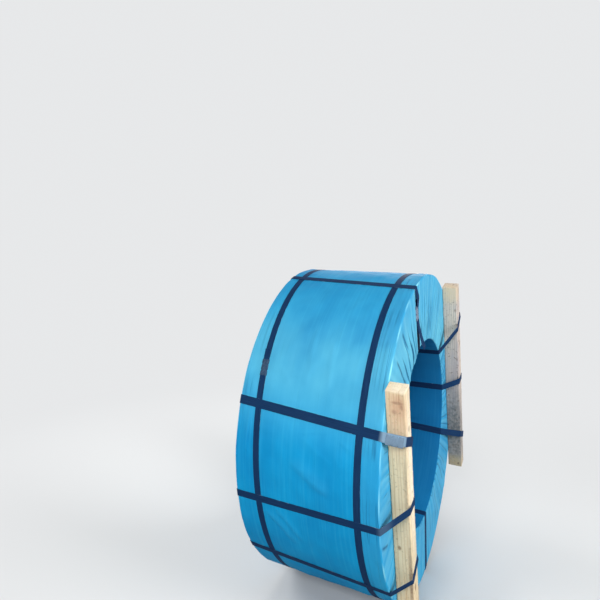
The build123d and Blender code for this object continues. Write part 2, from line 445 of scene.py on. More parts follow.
def clearOfBattens(angle, radius):
    # Distance from the nearest batten's footprint on the right end
    turn = np.radians(angle)
    spot = np.stack([-radius * np.cos(turn), axisZ + radius * np.sin(turn)], axis=-1)
    nearest = np.full(np.broadcast(angle, radius).shape, 1.0)
    for middle, (lengthwise, off, out), half in battens.values():
        offset = spot - np.array(middle)[1:]
        endways = np.abs(offset @ np.array(lengthwise)[1:]) - half[0]
        sideways = np.abs(offset @ np.array(off)[1:]) - half[1]
        nearest = np.minimum(nearest, np.maximum(endways, sideways))
    return nearest


# The outer wrap: one sheet rolled round the tread, turned in over both ends in pleats

wrap = {
    "rows": {"lip": 3, "end": 46, "hiddenEnd": 27, "corner": 4, "tread": 76},
    "columns": 600,
    "lapColumns": 8,
    "lapStart": 222,  # degrees; the free edge of the sheet lies on the hidden side
    "lapLift": 0.0006,
    "lipRadius": 0.003,
    "cornerRadius": 0.0045,
    "nearSide": 50,  # middle of the side that has the closer columns, in degrees
    "nearShare": 0.42,
    "underBand": 0.00012,
    # How far from a band the sheet is still held down a little, and how far from its full puff
    "treadHold": (0.014, 0.080),
    "endHold": (0.012, 0.070),
    "treadRise": (0.0010, 0.030),  # height between the bands before any fold, and where it is reached
    "puff": 0.0014,
    "endPuff": 0.0022,
    "uneven": 0.00045,  # small unevenness of the tread, and of the ends
    "endUneven": 0.00035,
    "ribs": (0.0218, 0.00016),  # pitch and height of the turns that show through the sheet
    "gathers": (97, 0.0003),  # beside the tread bands: how many round the coil, and height
    "floorGap": 0.0003,
    "hang": (106, 52, 0.009),  # middle, half span and depth of the slack at the top of the bore
    "margin": 0.205,  # the sheet is looser beyond this distance from the middle
    "looseLines": (0.06, 0.50),  # how dark the painted shade of its wrinkles is, in the middle and in the margins
    "leftMargin": 0.35,  # how loose the left margin is against the right one
    "paleMargin": 0.05,  # how white the right margin is
    "foldWhite": 0.02,  # how white the folds of the tread are
    "rimWhite": (0.26, 0.20),  # how white the fold along the rims is, part fold whitening and part painted highlight, and how much it varies
    "endWhite": (0.20, 0.06),  # painted light: how much paler the pleated sheet over the ends is painted, and how much it varies
}
# Waves in the sheets: seed, how many, turns round the coil, and waves per metre across
sheetWaves = {
    "puff": (11, 7, (3, 16), (0.5, 4)),
    "uneven": (12, 8, (14, 46), (3, 14)),
    "ribWander": (13, 4, (1, 5), (0.5, 2)),
    "ribShow": (14, 5, (2, 9), (1, 4)),
    "gathers": (15, 4, (5, 19), (1, 3)),
    "endPuff": (40, 7, (4, 26), (0.5, 6)),
    "endUneven": (44, 9, (40, 130), (1, 9)),
    "rimWhite": (51, 6, (9, 60), (0, 1)),
    "endWhite": (52, 9, (24, 130), (0, 2)),
    "loose": (53, 6, (4, 22), (0, 3)),
    "sleeve": (61, 6, (3, 14), (0.4, 2.5)),
}


def waves(name, angle, x, side=0):
    # Sum of seeded waves that close round the coil; the two ends have seeds of their own
    seed, count, around, across = sheetWaves[name]
    rng = np.random.default_rng(seed + side)
    total = 0
    for _ in range(count):
        turns = rng.integers(*around)
        pitch = rng.uniform(*across) * rng.choice((-1, 1))
        total = total + np.sin(np.radians(angle) * turns + 2 * np.pi * (pitch * x + rng.random()))
    return total / math.sqrt(count / 2)


def foldLine(angle, across, points, scale, width, height, sharp=0.4):
    # Ridge along a line of (angle, across) points: steep on one side, and fading at both ends
    u = np.radians(shortTurn(angle - points[0][0])) * scale
    spots = [(math.radians(a - points[0][0]) * scale, v) for a, v in points]
    lengths = [math.dist(a, b) for a, b in zip(spots, spots[1:])]
    whole, run = sum(lengths), 0.0
    best, side, place = np.full(u.shape, 1.0), np.zeros(u.shape), np.zeros(u.shape)
    for (startU, startV), (endU, endV), length in zip(spots, spots[1:], lengths):
        du, dv = (endU - startU) / length, (endV - startV) / length
        t = np.clip((u - startU) * du + (across - startV) * dv, 0, length)
        offU, offV = u - startU - t * du, across - startV - t * dv
        distance = np.hypot(offU, offV)
        closer = distance < best
        best = np.where(closer, distance, best)
        side = np.where(closer, np.sign(offU * dv - offV * du), side)
        place = np.where(closer, (run + t) / whole, place)
        run += length
    fade = ease(place / 0.25) * ease((1 - place) / 0.25)
    reach = np.where(side > 0, width, width * sharp)
    return height * fade * np.exp(-((best / reach) ** 2))


# Folds of the tread's near side: (angle, x) points, width and height
treadFolds = [
    ([(4.3, -0.061), (1.6, -0.009), (-2.1, 0.053), (-4.5, 0.112)], 0.034, 0.0048),
    ([(-14.3, -0.165), (-20.0, -0.099), (-27.1, -0.040)], 0.020, 0.0044),
    ([(-12.7, -0.129), (-17.5, -0.070), (-25.0, -0.010)], 0.015, 0.0034),
    ([(15.4, 0.116), (8.0, 0.122), (1.8, 0.126)], 0.005, 0.0010),
    ([(13.0, 0.139), (8.0, 0.142), (3.0, 0.143)], 0.005, 0.0010),
    ([(53.8, 0.257), (41.4, 0.252), (28.7, 0.250), (20.2, 0.247)], 0.008, 0.0032),
    ([(36.0, 0.267), (28.4, 0.271), (17.6, 0.260)], 0.007, 0.0026),
    ([(60.0, 0.236), (46.0, 0.233), (24.0, 0.229)], 0.007, 0.0022),
    ([(48.0, -0.028), (40.0, -0.030), (30.0, -0.020)], 0.014, 0.0018),
    ([(44.0, 0.050), (33.0, 0.056), (24.0, 0.070)], 0.016, 0.0018),
    ([(12.7, 0.126), (10.1, 0.172)], 0.008, 0.0012),
]
# Softer folds all round the coil: seed, how many, places across, lengths, widths, heights, and how
# far they lean, in degrees. The last two lie in the margins
looseFolds = [
    (21, 70, (-0.26, 0.26), (0.06, 0.26), (0.006, 0.022), (0.0004, 0.0013), 34),
    (22, 40, (-0.272, -0.232), (0.08, 0.34), (0.005, 0.010), (0.0006, 0.0016), 4),
    (23, 40, (0.222, 0.268), (0.08, 0.34), (0.005, 0.010), (0.0006, 0.0016), 4),
]


def seededFolds(seed, count, across, lengths, widths, heights, lean):
    rng = random.Random(seed)
    folds = []
    for _ in range(count):
        angle, x = rng.uniform(0, 360), rng.uniform(*across)
        length, turn = rng.uniform(*lengths), math.radians(rng.gauss(90, lean))
        bend = rng.uniform(-0.15, 0.15) * length
        points = []
        for t in (-0.5, 0.0, 0.5):
            sideways = bend * (0.25 - t * t)
            stepU = t * length * math.sin(turn) + sideways * math.cos(turn)
            stepV = t * length * math.cos(turn) - sideways * math.sin(turn)
            points.append((angle + math.degrees(stepU / coilRadius), x + stepV))
        folds.append((points, rng.uniform(*widths), rng.uniform(*heights)))
    return folds


def treadHeight(x, angle):
    # How far the sheet stands off the tread, and how much of that is folds
    hoop, cross = clearOfTread(x, angle), clearOfCross(x, angle, coilRadius)
    near, midfield = [ease(hoop / reach) * ease(cross / reach) for reach in wrap["treadHold"]]
    rise, reach = wrap["treadRise"]
    height = wrap["underBand"] + rise * ease(hoop / reach)
    height = height + wrap["puff"] * midfield * (0.6 + waves("puff", angle, x))
    height = height + wrap["uneven"] * near * waves("uneven", angle, x)
    pitch, rise = wrap["ribs"]
    ribs = np.sin(2 * np.pi * (x / pitch + 0.15 * waves("ribWander", angle, x)))
    height = height + rise * near * ribs * ease(0.5 + 0.5 * waves("ribShow", angle, x))
    count, rise = wrap["gathers"]
    gathers = np.sin(np.radians(angle) * count + 9 * x / coilRadius) * waves("gathers", angle, x)
    height = height + rise * gathers * near * np.exp(-hoop / 0.03)
    creased = 0
    for points, width, rise in treadFolds + [fold for rule in looseFolds for fold in seededFolds(*rule)]:
        creased = creased + foldLine(angle, x, points, coilRadius, width, rise)
    return np.maximum(height + near * creased, wrap["underBand"]), near * creased


pleat = {
    "height": 0.0052, "shares": (0.35, 1.0),  # height of a full pleat, and how much of it each one has
    "start": (0.56, 0.67),  # radius where one starts
    "lean": 1.2, "wander": 0.25,  # how far pleats run sideways, together and each for itself
    "grow": (0.10, 0.05),  # lengths over which they deepen from the rim and flatten at the bore
}


def pleatPlan(seed, widths, dense=None, placed=()):
    # Pleats of an end: where each starts at the rim, how deep it is and how far in it starts
    rng = random.Random(seed)
    edges, angle = [], 0.0
    while angle < 360:
        low, high = dense[2] if dense and dense[0] < angle < dense[1] else widths
        edges.append(angle)
        angle += rng.uniform(low, high)
    if placed:
        edges = [a for a in edges if not placed[0] - 3 < a < placed[-1] + 3] + list(placed)
    edges = sorted(a for a in edges if a < 358)
    plans = []
    for k, edge in enumerate(edges):
        # Neighbours lean much the same way, so that no two pleats cross
        room = min((edge - edges[k - 1]) % 360, (edges[(k + 1) % len(edges)] - edge) % 360)
        lean = pleat["lean"] * math.sin(math.radians(3 * edge + 40))
        plans.append({"angle": edge, "share": rng.uniform(*pleat["shares"]),
                      "start": rng.uniform(*pleat["start"]),
                      "slant": lean + rng.uniform(-pleat["wander"], pleat["wander"]) * room})
    return plans


ends = {
    "right": {
        "side": 1,
        "pleats": pleatPlan(31, (3.0, 6.5), dense=(76, 162, (2.2, 4.2)),
                            placed=(22.0, 27.5, 33.0, 39.5, 44.6, 50.0, 56.0, 61.0, 66.5)),
        # Single creases, cut in and painted dark as shade, and pale folds: the angle and radius where each
        # starts and ends
        "creases": [((49.7, 0.659), (51.8, 0.527)), ((56.1, 0.540), (55.8, 0.425)),
                    ((39.6, 0.650), (39.1, 0.513)), ((342.6, 0.678), (337.6, 0.604))],
        "paleFolds": [((47.6, 0.665), (51.6, 0.437)), ((84.0, 0.640), (88.0, 0.440))],
    },
    "left": {"side": -1, "pleats": pleatPlan(32, (2.6, 6.0)), "creases": [], "paleFolds": []},
}
creaseLook = {
    # Painted shade of the creases: half width, spread with the column gap and darkness; then single
    # creases and pale folds
    "half": 0.0024, "spread": 0.22, "strength": 0.80,
    "line": (0.0062, 0.0015),  # width and depth of a single crease
    "pale": (0.009, 0.0020, 0.45),  # width, height and whiteness of a pale fold
}


def columnDensity(angle):
    # The sheet's columns lie closer together on the near side
    return 1 + wrap["nearShare"] * np.cos(np.radians(angle - wrap["nearSide"]))


def pleatColumns(end, angle, radius):
    # Angles of the sheet's columns, moved so that one lies along the edge of every pleat and the
    # next one close behind it
    columns = np.unique(np.round(angle[0] % 360, 6))
    edges = np.array([p["angle"] for p in end["pleats"]])
    slants = np.array([p["slant"] for p in end["pleats"]])
    nearest = np.abs(shortTurn(columns - edges[:, None])).argmin(axis=1)
    onEdge, behind = columns[nearest], columns[(nearest + 1) % len(columns)]
    offset = shortTurn(edges - onEdge)
    closer = 0.5 * ((behind - onEdge) % 360)
    moved = angle.copy()
    for row, level in enumerate(radius[:, 0]):
        inward = (coilRadius - level) / (coilRadius - boreRadius)
        pull = ease(20 * inward)
        atEdge = offset * pull + slants * inward
        moves = np.concatenate([atEdge, atEdge - closer * pull])
        moved[row] += np.interp(angle[row], np.concatenate([onEdge, behind]), moves, period=360)
    return moved


def pleatShape(end, angle, radius):
    # Height of the pleats, and how much painted shade lies in the crease on the shadow side of each
    inward = (coilRadius - radius) / (coilRadius - boreRadius)
    plans = end["pleats"]
    edges = [p["angle"] + p["slant"] * inward for p in plans]
    edges += [edges[0] + 360]
    hair = 1e-4  # a column on an edge belongs to the pleat that ends there
    turned = (angle - edges[0] - hair) % 360 + edges[0] + hair
    columnGap = 2 * math.pi * radius / wrap["columns"] / columnDensity(angle)
    halfLine = creaseLook["half"] + creaseLook["spread"] * columnGap
    height, crease = np.zeros(angle.shape), np.zeros(angle.shape)
    fromRim, toBore = pleat["grow"]
    for k, plan in enumerate(plans):
        following = plans[(k + 1) % len(plans)]
        inside = (turned > edges[k] + hair) & (turned <= edges[k + 1] + hair)
        share = np.clip((turned - edges[k]) / (edges[k + 1] - edges[k]), 0, 1)
        grow = ease((plan["start"] - radius) / fromRim)
        grow = grow * (0.55 + 0.45 * ease((radius - boreRadius) / toBore))
        height = np.where(inside, pleat["height"] * plan["share"] * grow * (1 - share) ** 1.4, height)
        # Painted shade on the shadow side of each pleat edge
        gap = np.radians(edges[k + 1] - turned) * radius / halfLine
        shown = following["share"] * ease((following["start"] - radius) / 0.05)
        crease = np.where(inside, creaseLook["strength"] * shown * np.exp(-gap ** 2), crease)
    return height, crease


def endHeight(end, columnAngle, radius):
    # How far the sheet stands off an end, where its columns lie, the painted shade of its creases, and its
    # pale folds
    side = end["side"]
    angle = pleatColumns(end, columnAngle, radius)
    clear = clearOfCross(side * halfWidth, angle, radius)
    if side > 0:
        clear = np.minimum(clear, clearOfBattens(angle, radius))
    near, midfield = [ease(clear / reach) for reach in wrap["endHold"]]
    pleats, crease = pleatShape(end, angle, radius)
    rim = ease((coilRadius - radius) / 0.020)
    puff = 0.7 + 0.6 * waves("endPuff", angle, radius, side)
    height = wrap["underBand"] + wrap["endPuff"] * midfield * rim * puff
    uneven = waves("endUneven", angle, radius, side)
    height = height + wrap["endUneven"] * near * rim * uneven + near * pleats
    middle, pale = (coilRadius + boreRadius) / 2, 0
    width, depth = creaseLook["line"]
    for points in end["creases"]:
        line = foldLine(angle, radius, points, middle, width, 1.0, sharp=0.7)
        # Painted shade along each single crease
        crease = np.maximum(crease, creaseLook["strength"] * line)
        height = height - depth * line * near
    width, rise, white = creaseLook["pale"]
    for points in end["paleFolds"]:
        line = foldLine(angle, radius, points, middle, width, 1.0)
        pale = np.maximum(pale, white * line)
        height = height + rise * line * near
    return np.maximum(height, wrap["underBand"]), angle, crease * near, pale * near


def hang(angle):
    # Depth of the slack with which the sheets sag into the top of the bore, held up by the bands
    middle, span, depth = wrap["hang"]
    away = np.abs(shortTurn(angle - middle))
    return depth * ease(1 - away / span) * ease(clearOfCross(0, angle, boreRadius) / 0.06)


def wrapProfile():
    # Rows of the sheet from the right bore edge to the left one: x, radius, and how far a row
    # moves along the axis and outwards when the sheet stands off
    rows, lip, corner = wrap["rows"], wrap["lipRadius"], wrap["cornerRadius"]
    lipLevel = boreRadius + coil["gap"]
    turns = [math.pi / 2 * k / rows["lip"] for k in range(rows["lip"])]
    lipRows = [(halfWidth - lip + lip * math.sin(t), lipLevel + lip - lip * math.cos(t), math.sin(t), 0.0)
               for t in turns]
    turns = [math.pi / 2 * k / rows["corner"] for k in range(rows["corner"])]
    cornerRows = [(halfWidth - corner + corner * math.cos(t), coilRadius - corner + corner * math.sin(t),
                   math.cos(t), math.sin(t)) for t in turns]
    endSpan = coilRadius - corner - lipLevel - lip

    def half(count):
        endRows = [(halfWidth, lipLevel + lip + endSpan * k / count, 1.0, 0.0) for k in range(count)]
        return lipRows + endRows + cornerRows

    span = halfWidth - corner
    tread = [(span - 2 * span * k / rows["tread"], coilRadius, 0.0, 1.0) for k in range(rows["tread"] + 1)]
    left = [(-x, r, -e, t) for x, r, e, t in half(rows["hiddenEnd"])]
    return np.array(half(rows["end"]) + tread + left[::-1])


def columnAngles():
    # Angles of the sheet's columns, from its free edge round to the end of its lap
    columns, lapColumns, start = wrap["columns"], wrap["lapColumns"], wrap["lapStart"]
    grid = np.linspace(0, 360, 1441)
    density = columnDensity(grid)
    total = np.concatenate([[0], np.cumsum((density[1:] + density[:-1]) / 2)])
    place = np.interp(start, grid, total) + total[-1] * np.arange(columns + lapColumns + 1) / columns
    turns = np.floor(place / total[-1])
    return np.interp(place - turns * total[-1], total, grid) + 360 * turns


def newPiece(name, addPrimitive, **settings):
    # A primitive on its own, ready to be shaped
    bpy.ops.object.select_all(action="DESELECT")
    addPrimitive(**settings)
    piece = bpy.context.object
    piece.name = piece.data.name = name
    return piece


def editAll():
    bpy.ops.object.mode_set(mode="EDIT")
    bpy.ops.mesh.select_all(action="SELECT")


def applyModifier(piece, kind, **settings):
    modifier = piece.modifiers.new(kind, kind)
    for key, value in settings.items():
        setattr(modifier, key, value)
    bpy.ops.object.modifier_apply(modifier=kind)


def finishPiece(piece, material, node, sharp):
    # Edges blunter than an angle are smoothed, and the piece takes the place of a node
    giveMaterial(piece, material)
    bpy.ops.object.shade_smooth_by_angle(angle=math.radians(sharp))
    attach(piece, "root")
    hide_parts(node)


def layGrid(name, points, flatPlace, uvName):
    # A flat grid laid out row by row on the given points, with its flat places as its UV map
    rowCount, columnCount = points.shape[0] - 1, points.shape[1] - 1
    piece = newPiece(name, bpy.ops.mesh.primitive_grid_add, x_subdivisions=columnCount,
                     y_subdivisions=rowCount, size=1)
    flat = np.array([v.co for v in piece.data.vertices])
    column = np.rint((flat[:, 0] + 0.5) * columnCount).astype(int)
    row = np.rint((flat[:, 1] + 0.5) * rowCount).astype(int)
    piece.data.vertices.foreach_set("co", points[row, column].astype(np.float32).ravel())
    layer = piece.data.uv_layers.active
    layer.name = uvName
    corner = np.zeros(len(piece.data.loops), np.int32)
    piece.data.loops.foreach_get("vertex_index", corner)
    layer.data.foreach_set("uv", flatPlace[row, column][corner].astype(np.float32).ravel())
    piece.data.update()
    return piece, row, column


def addAttribute(piece, name, values):
    layer = piece.data.attributes.new(name, "FLOAT", "POINT")
    layer.data.foreach_set("value", np.asarray(values, np.float32).ravel())


def laySheet(node, x, angle, radius, girth, down, marks, material, facing):
    # Lays a sheet round the coil; facing is 1 if it looks away from the axis, -1 if towards it
    turn = np.radians(angle)
    z = np.maximum(axisZ + radius * np.sin(turn), wrap["floorGap"])
    points = np.stack([axisX + x, -radius * np.cos(turn), z], axis=-1)
    flatPlace = np.stack(np.broadcast_arrays(girth[None, :], down[:, None]), axis=-1)
    piece, row, column = layGrid(node + "_sheet", points, flatPlace, "cloth")
    for name, values in marks.items():
        addAttribute(piece, name, values[row, column])
    polygon = piece.data.polygons[len(piece.data.polygons) // 2]
    if facing * polygon.normal.dot(polygon.center - Vector((polygon.center.x, 0, axisZ))) < 0:
        editAll()
        bpy.ops.mesh.flip_normals()
        bpy.ops.object.mode_set(mode="OBJECT")
    finishPiece(piece, material, node, 48)


def makeOuterWrap():
    profile = wrapProfile()
    angles = columnAngles()
    x, radius = [np.repeat(profile[:, k:k + 1], len(angles), axis=1) for k in (0, 1)]
    endShare, treadShare = profile[:, 2:3], profile[:, 3:4]
    angle = np.repeat(angles[None, :], len(profile), axis=0)
    fold, crease, loose, shift, lift = [np.zeros(angle.shape) for _ in range(5)]

    onTread = profile[:, 3] > 0
    treadX, treadAngle = x[onTread], angle[onTread]
    height, creased = treadHeight(treadX, treadAngle)
    lift[onTread] = height * treadShare[onTread]
    margin = ease((np.abs(treadX) - wrap["margin"]) / 0.012)
    fold[onTread] = wrap["foldWhite"] * ease(creased / 0.004) + wrap["paleMargin"] * margin * (treadX > 0)
    patches = ease(0.55 + 0.6 * waves("loose", treadAngle, treadX))
    least, most = wrap["looseLines"]
    slacker = margin * np.where(treadX > 0, 1, wrap["leftMargin"])
    loose[onTread] = (least + (most - least) * slacker) * patches * (treadShare[onTread] == 1)
    moved = angle.copy()
    for end in ends.values():
        onEnd = profile[:, 2] * end["side"] > 0
        height, angleThere, dark, pale = endHeight(end, angle[onEnd], radius[onEnd])
        shift[onEnd] = height * endShare[onEnd]
        flatPart = onEnd & (profile[:, 3] == 0)
        inFlat = profile[onEnd][:, 3] == 0
        moved[flatPart], crease[flatPart] = angleThere[inFlat], dark[inFlat]
        # The ends are painted paler, as painted light for the strong light on them
        white, spread = wrap["endWhite"]
        streaks = waves("endWhite", angle[flatPart], radius[flatPart])
        fold[flatPart] = np.maximum(pale[inFlat], white + spread * streaks)
    # Along the rims the sheet is paler: fold whitening with a painted highlight on the rounded edge
    atRim = ease(np.minimum(np.abs(endShare), treadShare) * 2.2)
    white, spread = wrap["rimWhite"]
    fold = np.maximum(fold, atRim * (white + spread * waves("rimWhite", angle, x)))

    lapped = ease((np.arange(len(angles)) - wrap["columns"] + 4) / 3) * wrap["lapLift"]
    lift = lift + lapped * treadShare
    shift = shift + lapped * endShare
    lift = lift - hang(moved) * ease((boreRadius + 0.07 - radius) / 0.07)
    steps = np.hypot(np.diff(profile[:, 0]), np.diff(profile[:, 1]))
    down = np.concatenate([[0], np.cumsum(steps)])
    # The fold mark holds fold whitening, the painted paler ends and the rim line; the crease mark is
    # painted shade; the loose mark sets the painted shade and bump of the wrinkle lines
    marks = {"fold": np.clip(fold, 0, 1), "crease": crease, "loose": loose}
    laySheet("outer_wrap", x + shift, moved, radius + lift, np.radians(angles) * coilRadius, down, marks,
             sheetMaterial, 1)


makeOuterWrap()


# The bore wrap: a sleeve of the same sheet, with slack folds along the axis

sleeve = {
    "columns": 420, "rows": 64, "endGap": 0.0018, "underBand": 0.00008, "hold": (0.010, 0.060),
    "sag": 0.0016, "seed": 62, "folds": 46, "places": (-0.2, 0.2), "lengths": (0.10, 0.42),
    "widths": (0.006, 0.014), "foldDepth": 0.0030, "depthShares": (0.2, 0.8), "foldWhite": 0.46,
    "shade": (1.9, 0.011, 0.40),  # painted shade beside each fold: degrees away from it, width and darkness
}


def makeBoreWrap():
    angles = np.linspace(200, 560, sleeve["columns"] + 1)
    span = halfWidth - sleeve["endGap"]
    rows = np.linspace(span, -span, sleeve["rows"] + 1)
    x, angle = np.meshgrid(rows, angles, indexing="ij")
    clear = clearOfCross(x, angle, boreRadius)
    near, midfield = [ease(clear / reach) for reach in sleeve["hold"]]
    slack = sleeve["sag"] * midfield * (0.6 + 0.6 * waves("sleeve", angle, x))
    folds, dark = np.zeros(angle.shape), np.zeros(angle.shape)
    beside, width, shade = sleeve["shade"]
    rng = random.Random(sleeve["seed"])
    for _ in range(sleeve["folds"]):
        middle = rng.uniform(0, 360)
        place, length = rng.uniform(*sleeve["places"]), rng.uniform(*sleeve["lengths"])
        lean = rng.gauss(0, 4)
        points = [(middle - lean, place - length / 2), (middle + lean, place + length / 2)]
        folds = folds + foldLine(angle, x, points, boreRadius, rng.uniform(*sleeve["widths"]),
                                 sleeve["foldDepth"] * rng.uniform(*sleeve["depthShares"]))
        # Painted shade beside each fold
        dark = np.maximum(dark, foldLine(angle + beside, x, points, boreRadius, width, shade))
    inwards = sleeve["underBand"] + np.maximum(slack + near * folds, 0)
    inwards = inwards * ease((span - np.abs(x)) / 0.012)
    marks = {"fold": sleeve["foldWhite"] * ease(folds / sleeve["foldDepth"]), "crease": near * dark,
             "loose": np.zeros(angle.shape)}
    # The sleeve takes the deeper blue: painted shade for the bore
    laySheet("bore_wrap", x, angle, boreRadius - inwards - hang(angle), np.radians(angles) * boreRadius,
             span - rows, marks, shadedSleeveMaterial, -1)


makeBoreWrap()


# Steel bands: strips pulled tight round the section or the tread, their ends lapped under a seal

strip = {
    "edge": 0.00022,  # rounding of the strip's long edges
    "bend": 0.0042,  # radius of the outside of a bend
    "bendSteps": 6,
    "step": 0.012,
    "lap": 0.052,  # how far each end runs on past the middle of the seal
    "lapRise": 0.00112,
    "ramp": 0.030,
    "worn": 0.80,  # from this share of the half width outwards the paint is rubbed
    "slackReach": 0.11,
    "heldTo": 0.035,  # this far past the middle of the seal a tail is still held down
}
# Free ends that stand off the coil: length past the seal, how far the tip lifts, slack before the seal
looseTails = {"cross_band_2": (0.165, 0.022, 0.006), "tread_band_left": (0.075, 0.004, 0.0)}
heldTail = (strip["lap"], 0.0004, 0.0)
# Where these bands cross from the rim to the batten they are painted pale by this share, up to a height: a
# painted reflection
reflectingBridges = {"cross_band_1": (1.0, 0.20), "cross_band_8": (0.24, 0.034)}


def roundedLoop(corners):
    # Samples (x, radius, normal x, normal radius) round a convex loop with rounded corners
    samples = []
    count = len(corners)
    middle = sum(corners, Vector((0, 0))) / count

    def trimAt(k):
        before, corner, after = corners[(k - 1) % count], corners[k % count], corners[(k + 1) % count]
        turn = (corner - before).angle(after - corner)
        return min(strip["bend"] * math.tan(turn / 2), (after - corner).length / 3), turn

    def outOf(direction, corner):
        normal = Vector((direction.y, -direction.x))
        return normal if normal.dot(corner - middle) > 0 else -normal

    for k in range(count):
        before, corner, after = corners[k - 1], corners[k], corners[(k + 1) % count]
        inDirection, outDirection = (corner - before).normalized(), (after - corner).normalized()
        trim, turn = trimAt(k)
        bend = trim / math.tan(turn / 2)
        start, end = corner - inDirection * trim, corner + outDirection * trim
        normalIn, normalOut = outOf(inDirection, corner), outOf(outDirection, corner)
        centre = start - normalIn * bend
        for step in range(strip["bendSteps"] + 1):
            normal = normalIn.lerp(normalOut, step / strip["bendSteps"]).normalized()
            spot = centre + normal * bend
            samples.append((spot.x, spot.y, normal.x, normal.y))
        runEnd = after - outDirection * trimAt(k + 1)[0]
        pieces = max(1, int((runEnd - end).length / strip["step"]))
        for step in range(1, pieces):
            spot = end.lerp(runEnd, step / pieces)
            samples.append((spot.x, spot.y, normalOut.x, normalOut.y))
    return samples


def crossSamples(line):
    # Places and normals on the top of a cross band
    spots, normals = [], []
    for x, radius, normalX, normalR in roundedLoop(line["corners"][::-1]):
        angle = line["angle"] + math.degrees(math.asin(line["drift"] * x / radius))
        spots.append(coilAxis + Vector((x, 0, 0)) + outward(angle) * radius)
        normals.append((Vector((normalX, 0, 0)) + outward(angle) * normalR).normalized())
    return spots, normals


def treadSamples(line):
    # Places and normals on the top of a tread band
    count = int(2 * math.pi * line["radius"] / strip["step"])
    spots, normals = [], []
    for k in range(count):
        turn = 2 * math.pi * k / count
        x = float(line["fit"] @ np.array([1, math.cos(turn), math.sin(turn)]))
        normals.append(outward(math.degrees(turn)))
        spots.append(coilAxis + Vector((x, 0, 0)) + normals[-1] * line["radius"])
    return spots, normals


def lappedPath(spots, normals, sealSpot, tail, lift, slack):
    # Opens a closed loop at its seal and lets both ends run past it, the last one on top
    count = len(spots)
    first = min(range(count), key=lambda k: (spots[k] - sealSpot).length)
    order = [(first + k) % count for k in range(count)] + [first]
    loop, faces = [spots[k] for k in order], [normals[k] for k in order]
    reached = [0.0]
    for a, b in zip(loop, loop[1:]):
        reached.append(reached[-1] + (b - a).length)
    whole, lap = reached[-1], strip["lap"]
    under = [-lap * (1 - k / 6) for k in range(7)]
    over = [whole + tail * k / 12 for k in range(13)]
    path = []
    for distance in under + [d for d in reached[:-1] if d > 0.004] + over:
        wrapped = distance % whole
        k = min(max(int(np.searchsorted(reached, wrapped)), 1), count)
        share = (wrapped - reached[k - 1]) / (reached[k] - reached[k - 1])
        spot, normal = loop[k - 1].lerp(loop[k], share), faces[k - 1].lerp(faces[k], share).normalized()
        rise = strip["lapRise"] * float(ease((distance - whole + lap + strip["ramp"]) / strip["ramp"]))
        before = (whole - distance) / strip["slackReach"]
        if 0 < before < 1:
            rise += slack * math.sin(math.pi * before) ** 2
        past = (distance - whole - strip["heldTo"]) / max(tail - strip["heldTo"], 0.001)
        if past > 0:
            rise += lift * past ** 1.6
        path.append((spot + normal * rise, normal, distance))
    return path


def makeBand(name, line, samples):
    # A flat ribbon laid along its path, then given its thickness and its rounded edges
    sealSpot = sealBox("seal_" + name.replace("_band", ""))[0]
    path = lappedPath(*samples, sealSpot, *looseTails.get(name, heldTail))
    half = line["width"] / 2
    places = [-half, -half * strip["worn"], 0, half * strip["worn"], half]
    points, flat, bare = [], [], []
    share, reach = reflectingBridges.get(name, (0.0, 1.0))
    battenEdge = max([c.y for c in line.get("corners", []) if c.x > halfWidth + 0.03], default=coilRadius)
    for k, (spot, normal, distance) in enumerate(path):
        before, after = path[max(k - 1, 0)][0], path[min(k + 1, len(path) - 1)][0]
        across = (after - before).cross(normal).normalized()
        points.append([spot + across * place for place in places])
        flat.append([(distance, place) for place in places])
        x, angle, radius = onCoil(spot)
        # A painted reflection on the bridge from the rim to the batten
        onBridge = x[0] > halfWidth - 0.002 and radius[0] > battenEdge + 0.003
        bare.append(share * onBridge * float(ease((reach + halfWidth - x[0]) / 0.020)))
    piece, row, column = layGrid(name + "_steel", np.array(points), np.array(flat), "band")
    addAttribute(piece, "worn", (column == 0) | (column == len(places) - 1))
    addAttribute(piece, "bare", np.array(bare)[row])
    applyModifier(piece, "SOLIDIFY", thickness=coil["bandThickness"], offset=-1)
    applyModifier(piece, "BEVEL", width=strip["edge"], segments=1, angle_limit=math.radians(60))
    finishPiece(piece, bandMaterial, name, 35)


for name, line in crossBands.items():
    makeBand(name, line, crossSamples(line))
for name, line in treadBands.items():
    makeBand(name, line, treadSamples(line))
print("bands made")


# Timber battens: rough sawn softwood bars, worn along their edges and bitten by the bands

timber = {
    "round": 0.0016,  # rounding left by the saw and by handling
    "cuts": (76, 8, 6),  # cuts along, across and through a bar
    "fine": 2,  # halvings of every face after the cuts
    "sawRough": 0.00022,
    "edgeWear": (0.0020, 0.0014),
    "chips": (0.0010, 0.0012),
    "bow": 0.0018,
    "bite": 0.0030,  # how far a band sinks into the edges it bends over
    "crackWidth": 0.0011,
    "ring": 0.0085,  # width of a year's growth
    "wander": (22, 0.014),  # scale of the bends in the rings, and how far they go
    # Width, length, detail and roughness of each noise
    "noises": {"fibre": (0.0024, 0.11, 4, 0.5), "patch": (0.070, 0.38, 5, 0.6)},
    "sawMark": 0.006,
    "mottle": 70,
    "mottled": (-0.10, 0.75),  # how far that noise breaks up the stains
    "knot": ("#7b5a3e", 0.75, 0.15, 0.45),  # colour, strength, and how far it is broken up
    "speck": (0.012, "#6a5648"),
    "bumps": ((0.25, 0.0006), (0.5, 0.0008), (0.25, 0.0005)),  # saw marks, fibres and rings
    "roughness": 0.80,
}
